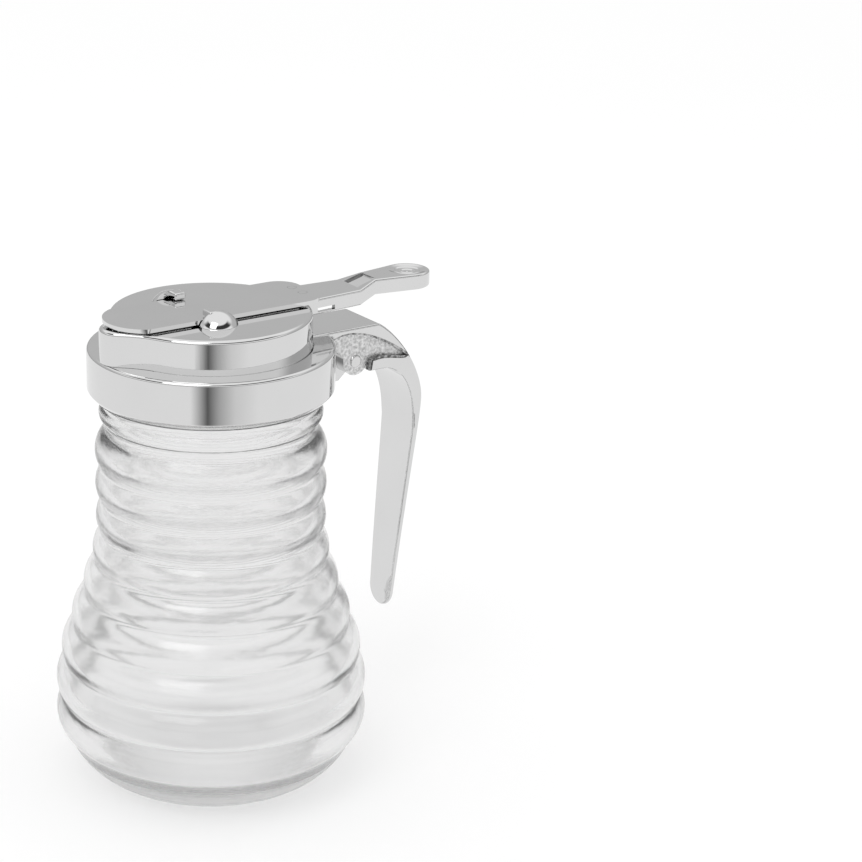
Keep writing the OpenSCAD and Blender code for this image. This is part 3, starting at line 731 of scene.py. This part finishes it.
class HONEY_OT_gate_plate(bpy.types.Operator):
    """Push up the gate plate with its round nose and soft edges, and the spring's tab under it"""
    bl_idname = "honey.gate_plate"
    bl_label = "Gate Plate"

    def execute(self, context):
        half = PLATE_HIGH.y
        flank = math.degrees(math.asin(half / NOSE_R))
        corner = 5.0
        corner_x, corner_y = PLATE_HIGH.x - corner, half - corner
        outline = (
            arc((PLATE_LOW.x + NOSE_R, 0), NOSE_R, 180 - flank, 180 + flank, 2)
            + arc((corner_x, -corner_y), corner, -90, 0, 3)
            + arc((corner_x, corner_y), corner, 0, 90, 3)
        )
        plate = plan("gate_blade", outline, PLATE_Z, PLATE_HIGH.z)
        drill_rivets(plate)
        round_edges(plate, 0.35, 4)
        tab_x, tab_half = PLATE_LOW.x + TAB_BACK, 1.9
        tab = block("spring_tab", (tab_x, -tab_half, PLATE_LOW.z), (tab_x + 1, tab_half, PLATE_Z + 0.2))
        round_edges(tab, 0.2, 2)
        settle(plate, "gate", "chrome", "chrome_plated_plate", "gate_plate")
        settle(tab, "gate", "chrome", "chrome_plated_plate")
        return {"FINISHED"}


class HONEY_OT_thumb_lever(bpy.types.Operator):
    """Shape the thumb lever: channel arm, ramp with rims, throat and dished pad"""
    bl_idname = "honey.thumb_lever"
    bl_label = "Thumb Lever"

    def lever_plan(self, inset):
        """Plan of the lever, drawn in by the wall for its hollow."""
        root, half, throat, pad = LEVER_HIGH.y - inset, 5.1 - inset, 3.5 - inset, PAD_R - inset
        lean = 90 + math.degrees(math.asin((pad - throat) / (PAD_X - THROAT_X)))
        return (
            [(LEVER_LOW.x + inset, root), (RAMP_X, half), (THROAT_X, throat)]
            + arc((PAD_X, 0), pad, lean, -lean, 4)
            + [(THROAT_X, -throat), (RAMP_X, -half), (LEVER_LOW.x + inset, -root)]
        )

    def lever_side(self, drop, depth):
        """Side of the lever: level arm, ramp and level pad."""
        start, end = LEVER_LOW.x - 1, PAD_X + 8
        top, pad = PLATE_Z, LEVER_HIGH.z
        return [
            (start, top - drop), (RAMP_X, top - drop), (THROAT_X, pad - drop), (end, pad - drop),
            (end, pad - depth), (THROAT_X, pad - depth), (RAMP_X, top - depth), (start, top - depth)
        ]

    def dish_outline(self):
        """Hollow of the pad, with fine rings that rise from it, out to 0.85 of its radius."""
        radius, depth = PAD_R - 0.7, 0.6
        line = [(0, -depth)]
        for i in range(1, 37):
            r = radius * i / 36
            ring = 0.16 * max(0.0, math.cos(math.tau * (r / radius * 3 - 1))) ** 3
            line.append((r, depth * (r * r / radius ** 2 - 1) + (ring if r < 0.85 * radius else 0)))
        return line + [(radius, 1), (0, 1)]

    def execute(self, context):
        wall, depth = 1.2, 3.6
        bottom, top = LEVER_LOW.z - 5, LEVER_HIGH.z + 5
        lever = plan("lever_arm", self.lever_plan(0), bottom, top)
        combine(lever, side("sides", self.lever_side(0, depth), 12), "INTERSECT")
        round_edges(lever, 0.5, 4, 30)
        hollow = plan("hollow", self.lever_plan(wall), bottom, top)
        combine(hollow, side("hollow_sides", self.lever_side(wall, depth + 1), 12), "INTERSECT")
        combine(lever, hollow)
        sunk, pad_z = 0.4, LEVER_HIGH.z
        combine(lever, side("ramp_floor", [
            (RAMP_X + sunk, PLATE_Z - sunk), (RAMP_X + sunk, PLATE_Z + 1),
            (THROAT_X + sunk, pad_z + 1), (THROAT_X + sunk, pad_z - sunk)], 2.7))
        slot_z = LEVER_LOW.z + 0.5
        combine(lever, block("slots", (LEVER_LOW.x + 4.6, -12, slot_z), (LEVER_LOW.x + 9.4, 12, slot_z + 1)))
        combine(lever, spun("dish", self.dish_outline(), 72, (PAD_X, 0, pad_z)))
        drill_rivets(lever)
        round_edges(lever, 0.12, 2, 40)
        settle(lever, "gate", "chrome", "chrome_plated_casting", "thumb_lever")
        return {"FINISHED"}


class HONEY_OT_handle(bpy.types.Operator):
    """Shape the handle: bridge, gooseneck with its recesses, ears and tapered grip, and its pin"""
    bl_idname = "honey.handle"
    bl_label = "Handle and Pin"

    def side_outline(self):
        """Side of the handle, round its outer line and back along its inner one."""
        back, top, tip = HANDLE_HIGH.x, HANDLE_HIGH.z, HANDLE_LOW.z
        front, clear = HANDLE_LOW.x - TOE_DEPTH, COLLAR_R + 0.3
        grip_t, tip_t = 1.8, 1.0
        shoulder = curve(
            (back - 12.6, top), (back - 7.2, top - 3.2), (back, top - 12.4), (back, top - 20.4), 28)
        grip = curve(
            (back, top - 20.4), (back - 0.1, top - 27.4),
            (back - 2.5, (top + tip) / 2 - 6), (back - 5, tip - 1), 32)
        inner = offset_line(grip, grip_t, tip_t)[8:]
        arch = curve(
            (back - 11.2, COLLAR_Z - 10.9), (back - 6, COLLAR_Z - 11),
            (back - 2.6, COLLAR_Z - 16.5), (back - 2.2, COLLAR_Z - 24.5), 24)
        return (
            [(front, top)] + shoulder + grip[1:] + inner[::-1] + arch[::-1]
            + [(PIN_X + EAR_R - 0.4, COLLAR_Z - 10.9), (PIN_X + EAR_R - 0.5, PIN_Z - 1.2)]
            + arc((PIN_X, PIN_Z), EAR_R, -25, -180, 8)
            + [(PIN_X - EAR_R, PIN_Z + 1.4), (COLLAR_R + 0.9, COLLAR_Z - 4.3), (clear, COLLAR_Z - 2.6),
               (clear, BRIDGE_LOW), (front, BRIDGE_LOW)]
        )

    def recess(self):
        """Crescent recess that runs from the ears along both sides of the gooseneck."""
        tip_x, tip_z = HANDLE_HIGH.x - 4.4, COLLAR_Z - 8.8
        ear_x, low_z = PIN_X + EAR_R, COLLAR_Z - 14
        upper = curve(
            (COLLAR_R + 0.3, COLLAR_Z - 2.2), (COLLAR_R + 5.4, COLLAR_Z + 0.3),
            (COLLAR_R + 13.4, COLLAR_Z - 3.1), (tip_x, tip_z), 20)
        lower = curve(
            (tip_x, tip_z), (tip_x - 4, tip_z + 0.2),
            (tip_x - 6, tip_z + 1.6), (ear_x + 0.3, COLLAR_Z - 8.2), 14)
        foot = [(ear_x, COLLAR_Z - 9.5), (ear_x - 0.4, low_z), (COLLAR_R - 1, low_z)]
        return upper + lower[1:] + foot + [(COLLAR_R - 1, COLLAR_Z - 2.2)]

    def rough_skin_and_painted_recess_shade(self, handle, half):
        """Leaves the recess floor, where no buffing wheel reaches, with a light cast skin, and paints shade
        on the ledge and the walls along the recess's edge with dark cast skin.
        """
        handle.data.materials.append(finish_of("as_cast_skin"))
        handle.data.materials.append(finish_of("satin_cast_skin"))
        line = [Vector((x, z)) for x, z in self.recess()]
        for face in handle.data.polygons:
            centre, flat = face.center / MM, abs(face.normal.y) > 0.97
            depth = half - abs(centre.y)
            wall = not flat and depth < 1.6 and centre.x > COLLAR_R + 0.8
            if flat and abs(depth - RECESS_DEPTH) < 0.05 and centre.x > PIN_X:
                face.material_index = 2
            elif flat and abs(depth - LEDGE_DEPTH) < 0.05:
                # The ledge and the walls along the recess's edge: painted shade in dark cast skin
                face.material_index = 1
            elif wall and min((point - centre.xz).length for point in line) < 1.0:
                face.material_index = 1

    def casting(self, sizes):
        """The handle's side, crossed with its tapered front, with soft edges."""
        half, tip_half = sizes.handle_width, sizes.tip_width
        top, taper_z = COLLAR_Z + 5, COLLAR_Z - 18
        handle = side("handle_casting", self.side_outline(), half + 1)
        front = (
            [(-half, top), (-half, taper_z)]
            + arc((0, HANDLE_LOW.z + tip_half), tip_half, 180, 360, 6)
            + [(half, taper_z), (half, top)]
        )
        combine(handle, pushed("taper", [(0, y, z) for y, z in front], (90, 0, 0)), "INTERSECT")
        return round_edges(handle, 0.5, 4, 30, clamp=False)

    def cross_pin(self):
        """The pin through the ears and the lug, rounded at both ends."""
        end, edge = high("handle_pin").y, 0.45
        outline = [(0, -end), (PIN_R - edge, -end)] + arc((PIN_R - edge, edge - end), edge, -90, 0, 15)[1:]
        outline += [(r, -h) for r, h in reversed(outline)]
        return smooth(spun("cross_pin", outline, 48, (PIN_X, 0, PIN_Z), "Y"))

    def execute(self, context):
        sizes = context.scene.honey_head
        half, seat = sizes.handle_width, sizes.body_radius + SNUG
        handle = self.casting(sizes)
        combine(handle, drum("body_seat", seat, 80, 130, 96))
        combine(handle, block("toe", (sizes.body_radius - TOE_DEPTH, -TOE_HALF, BRIDGE_LOW),
                              (sizes.body_radius + 1, TOE_HALF, HANDLE_HIGH.z)), "UNION")
        slot_half = LUG_HALF + SNUG
        combine(handle, block("lug_slot", (COLLAR_R - 1, -slot_half, 60),
                              (PIN_X + 3.35, slot_half, COLLAR_Z - 3.5)))
        recess = self.recess()
        ledge = offset_line(recess, -0.5, -0.5)
        for name, outline, depth in (("recess", recess, RECESS_DEPTH), ("ledge", ledge, LEDGE_DEPTH)):
            for start in (half - depth, -half - 10):
                combine(handle, side(name, outline, start + (10 + depth), start))
        round_edges(handle, 0.15, 2, 40)
        settle(handle, "head", "chrome", "chrome_plated_casting", "handle")
        self.rough_skin_and_painted_recess_shade(handle, half)
        settle(self.cross_pin(), "head", "chrome", "chrome_plated_plate", "handle_pin")
        return {"FINISHED"}


class HONEY_OT_inner_parts(bpy.types.Operator):
    """Wind the return spring, and finish the sealing ring and the rivets"""
    bl_idname = "honey.inner_parts"
    bl_label = "Inner Parts"

    def wind_spring(self, wire, turns, travel):
        """Winds the spring along X from a ring of wire; travel is not used."""
        start, end = low("return_spring"), high("return_spring")
        length = end.x - start.x
        coil = (end.z - start.z - wire) / 2
        select_nothing()
        bpy.ops.mesh.primitive_circle_add(
            vertices=10, radius=wire / 2 * MM, location=Vector((0, coil, 0)) * MM)
        spring = bpy.context.object
        spring.name = "wound_spring"
        spring.data.name = "wound_spring"
        bpy.ops.object.transform_apply(location=True, rotation=True, scale=True)
        apply_modifier(spring, "SCREW", axis="X", angle=math.tau * turns, screw_offset=(length - wire) * MM,
                       steps=turns * 20, render_steps=turns * 20)
        bpy.ops.object.mode_set(mode="EDIT")
        bpy.ops.mesh.select_all(action="SELECT")
        bpy.ops.mesh.fill_holes(sides=0)
        bpy.ops.mesh.select_all(action="SELECT")
        bpy.ops.transform.translate(value=Vector((start.x + wire / 2, 0, (start.z + end.z) / 2)) * MM)
        close_up(spring)
        smooth(spring, 60)
        settle(spring, "head", "spring_steel", "drawn_spring_steel", "return_spring")
        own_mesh(spring)

    def execute(self, context):
        sizes = context.scene.honey_head
        self.wind_spring(sizes.spring_wire, sizes.spring_turns, sizes.gate_travel)
        for node, kind in (("neck_seal", "milky_silicone"), ("gate_rivets", "chrome_plated_plate")):
            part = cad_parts[node]
            part.data.materials.clear()
            part.data.materials.append(finish_of(kind))
        return {"FINISHED"}


class HONEY_OT_stage(bpy.types.Operator):
    """Set up the pale floor, the soft studio light and the camera"""
    bl_idname = "honey.stage"
    bl_label = "Studio"

    def by_ray(self, node, output, plain, mirrored, through):
        """Shows one shader to a ray off a mirror, one to a ray through glass and one to all others."""
        rays = node("ShaderNodeLightPath")
        shown = plain
        for kind, other in (("Is Glossy Ray", mirrored), ("Is Transmission Ray", through)):
            mix = node("ShaderNodeMixShader", {"Fac": rays.outputs[kind], 1: shown, 2: other})
            shown = mix.outputs["Shader"]
        node(output, {"Surface": shown})

    def ramp(self, node, value, reach, stops):
        """Colours along a value that runs from -reach to reach, from (share of reach, colour) stops."""
        share = node("ShaderNodeMapRange", {"Value": value, "From Min": -reach, "From Max": reach})
        made = node("ShaderNodeValToRGB", {"Fac": share.outputs["Result"]})
        for _ in stops[2:]:
            made.color_ramp.elements.new(1.0)
        for element, (place, code) in zip(made.color_ramp.elements, stops):
            element.position = (place + 1) / 2
            element.color = linear(code)
        return made.outputs["Color"]

    def painted_floor_reflection(self, node, place):
        """Painted reflection of the floor for the chrome: pale, with a painted dark strip from 60 mm out to
        the camera.
        """
        turned = node("ShaderNodeMapping", {
            "Vector": place, "Rotation": (0, 0, math.radians(90) - CAMERA_AZIMUTH)})
        parts = node("ShaderNodeSeparateXYZ", {"Vector": turned.outputs["Vector"]})
        angle = node("ShaderNodeMath", {
            0: parts.outputs["Y"], 1: parts.outputs["X"]}, operation="ARCTAN2")
        # Painted reflection: a dark strip that only the chrome shows
        strip = self.ramp(node, angle.outputs["Value"], math.radians(60), (
            (-0.3, "f6f6f6"), (-0.05, "606060"), (0.12, "b4b4b4"), (0.35, "e2e2e2"), (0.7, "f6f6f6")))
        away = node("ShaderNodeVectorMath", {0: place}, operation="LENGTH")
        start = node("ShaderNodeMapRange", {
            "Value": away.outputs["Value"], "From Min": 60 * MM, "From Max": 120 * MM})
        grey = node("ShaderNodeMix", {
            "Factor": start.outputs["Result"], "A": linear("f6f6f6"), "B": strip}, data_type="RGBA")
        return node("ShaderNodeEmission", {"Color": grey.outputs["Result"], "Strength": 1.0})

    def floor(self):
        """A pale matt floor that keeps the jar's shadow, and shows the chrome a painted reflection of a grey
        studio floor.
        """
        material, node, place = new_material("pale_floor")
        spread = node("ShaderNodeTexNoise", {"Vector": place, "Scale": 3.0})
        pale = node("ShaderNodeMix", {
            "Factor": spread.outputs["Fac"], "A": linear("fdfdfd"), "B": linear("fbfbfb")}, data_type="RGBA")
        matt = node("ShaderNodeBsdfDiffuse", {"Color": pale.outputs["Result"]})
        # A light under the floor makes the jar's shadow faint
        lit = node("ShaderNodeEmission", {"Color": pale.outputs["Result"], "Strength": 1.0})
        table = node("ShaderNodeMixShader", {
            "Fac": 0.6, 1: matt.outputs["BSDF"], 2: lit.outputs["Emission"]})
        painted_reflection = self.painted_floor_reflection(node, place)
        under_glass = node("ShaderNodeEmission", {"Color": linear("f0f0f0"), "Strength": 1.0})
        self.by_ray(node, "ShaderNodeOutputMaterial", table.outputs["Shader"], painted_reflection.outputs["Emission"],
                    under_glass.outputs["Emission"])
        select_nothing()
        bpy.ops.mesh.primitive_plane_add(size=12, location=(0, 0, -0.2 * MM))
        plane = bpy.context.object
        plane.name = "floor"
        plane.data.materials.append(material)

    def world(self):
        """White for the camera, a softly graded painted studio reflection for what the metal and the glass
        mirror, and painted shade for what shows through the glass.
        """
        world = bpy.data.worlds.new("studio")
        bpy.context.scene.world = world
        world.use_nodes = True
        world.node_tree.nodes.clear()
        node = partial(add_node, world.node_tree)
        direction = node("ShaderNodeTexCoord").outputs["Generated"]
        height = node("ShaderNodeSeparateXYZ", {"Vector": direction}).outputs["Z"]
        # Away from the camera a painted reflection: a dark band just over the horizon, grey above it, white
        # at the top
        far = self.ramp(node, height, 1, (
            (-0.02, "f6f6f6"), (0.04, "5a5a5a"), (0.12, "c4c4c4"), (0.44, "c8c8c8"), (0.64, "ffffff")))
        # Behind the camera a painted reflection: white between a dark band at the horizon and a dark band
        # higher up
        near = self.ramp(node, height, 1, (
            (-0.02, "f6f6f6"), (0.02, "505050"), (0.12, "5a5a5a"), (0.18, "ffffff"), (0.46, "ffffff"),
            (0.52, "3c3c3c"), (0.74, "3c3c3c"), (0.8, "ffffff")))
        towards = (math.sin(CAMERA_AZIMUTH), -math.cos(CAMERA_AZIMUTH), 0)
        facing = node("ShaderNodeVectorMath", {0: direction, 1: towards}, operation="DOT_PRODUCT")
        share = node("ShaderNodeMapRange", {
            "Value": facing.outputs["Value"], "From Min": -0.25, "From Max": 0.2},
            interpolation_type="SMOOTHSTEP")
        studio = node("ShaderNodeMix", {
            "Factor": share.outputs["Result"], "A": far, "B": near}, data_type="RGBA").outputs["Result"]
        # Painted shade seen through the glass: paler below the horizon, white at it, greyer towards the top
        pane = self.ramp(node, height, 1, (
            (-0.5, "e8e8e8"), (0.0, "ffffff"), (0.3, "f0f0f0"), (0.9, "d0d0d0")))
        lights = [
            node("ShaderNodeBackground", {"Color": colour, "Strength": 1.0}).outputs["Background"]
            for colour in ((1, 1, 1, 1), studio, pane)
        ]
        self.by_ray(node, "ShaderNodeOutputWorld", *lights)

    def camera(self):
        """The photograph's view: from the beak's side, a little above."""
        elevation, distance = math.radians(22.4), 0.555
        target = Vector((0, 0, 0.0565))
        level = math.cos(elevation)
        away = Vector((
            math.sin(CAMERA_AZIMUTH) * level, -math.cos(CAMERA_AZIMUTH) * level, math.sin(elevation)))
        data = bpy.data.cameras.new("camera")
        camera = bpy.data.objects.new("camera", data)
        bpy.context.scene.collection.objects.link(camera)
        camera.location = target + distance * away
        camera.rotation_euler = (-away).to_track_quat("-Z", "Y").to_euler()
        data.sensor_width = 36
        data.lens = 101.6
        data.shift_x = 0.2552
        data.shift_y = 0.1265
        data.clip_start = 0.01
        bpy.context.scene.camera = camera

    def lamp(self, name, place, size, power):
        """A soft square lamp that points at the dispenser."""
        data = bpy.data.lights.new(name, "AREA")
        data.size = size
        data.energy = power
        lamp = bpy.data.objects.new(name, data)
        bpy.context.scene.collection.objects.link(lamp)
        lamp.location = place
        lamp.rotation_euler = (Vector((0, 0, 0.06)) - Vector(place)).to_track_quat("-Z", "Y").to_euler()

    def execute(self, context):
        self.floor()
        self.world()
        self.camera()
        self.lamp("key_lamp", (-0.9, -0.5, 1.3), 0.9, 6.0)
        context.scene.view_settings.view_transform = "Standard"
        return {"FINISHED"}


class HONEY_PT_panel(bpy.types.Panel):
    """Lists the dispenser's pieces in the 3D view's sidebar"""
    bl_label = "Honey Dispenser"
    bl_idname = "HONEY_PT_panel"
    bl_space_type = "VIEW_3D"
    bl_region_type = "UI"
    bl_category = "Honey"

    def draw(self, context):
        scene = context.scene
        for group in (scene.honey_jar, scene.honey_head, scene.honey_finishes):
            box = self.layout.box()
            for name in group.__annotations__:
                box.prop(group, name)
        for operator in OPERATORS:
            self.layout.operator(operator.bl_idname)


OPERATORS = (
    HONEY_OT_stage, HONEY_OT_glass_jar, HONEY_OT_screw_collar, HONEY_OT_spout_body, HONEY_OT_guides,
    HONEY_OT_gate_plate, HONEY_OT_thumb_lever, HONEY_OT_handle, HONEY_OT_inner_parts,
)
GROUPS = (JarSizes, HeadSizes, Finishes)


def register():
    for item in GROUPS + OPERATORS + (HONEY_PT_panel,):
        bpy.utils.register_class(item)
    bpy.types.Scene.honey_jar = PointerProperty(type=JarSizes)
    bpy.types.Scene.honey_head = PointerProperty(type=HeadSizes)
    bpy.types.Scene.honey_finishes = PointerProperty(type=Finishes)


def unregister():
    del bpy.types.Scene.honey_jar
    del bpy.types.Scene.honey_head
    del bpy.types.Scene.honey_finishes
    for item in reversed(GROUPS + OPERATORS + (HONEY_PT_panel,)):
        bpy.utils.unregister_class(item)


def main():
    register()
    for operator in OPERATORS:
        group, name = operator.bl_idname.split(".")
        getattr(getattr(bpy.ops, group), name)()


if __name__ == "__main__":
    main()
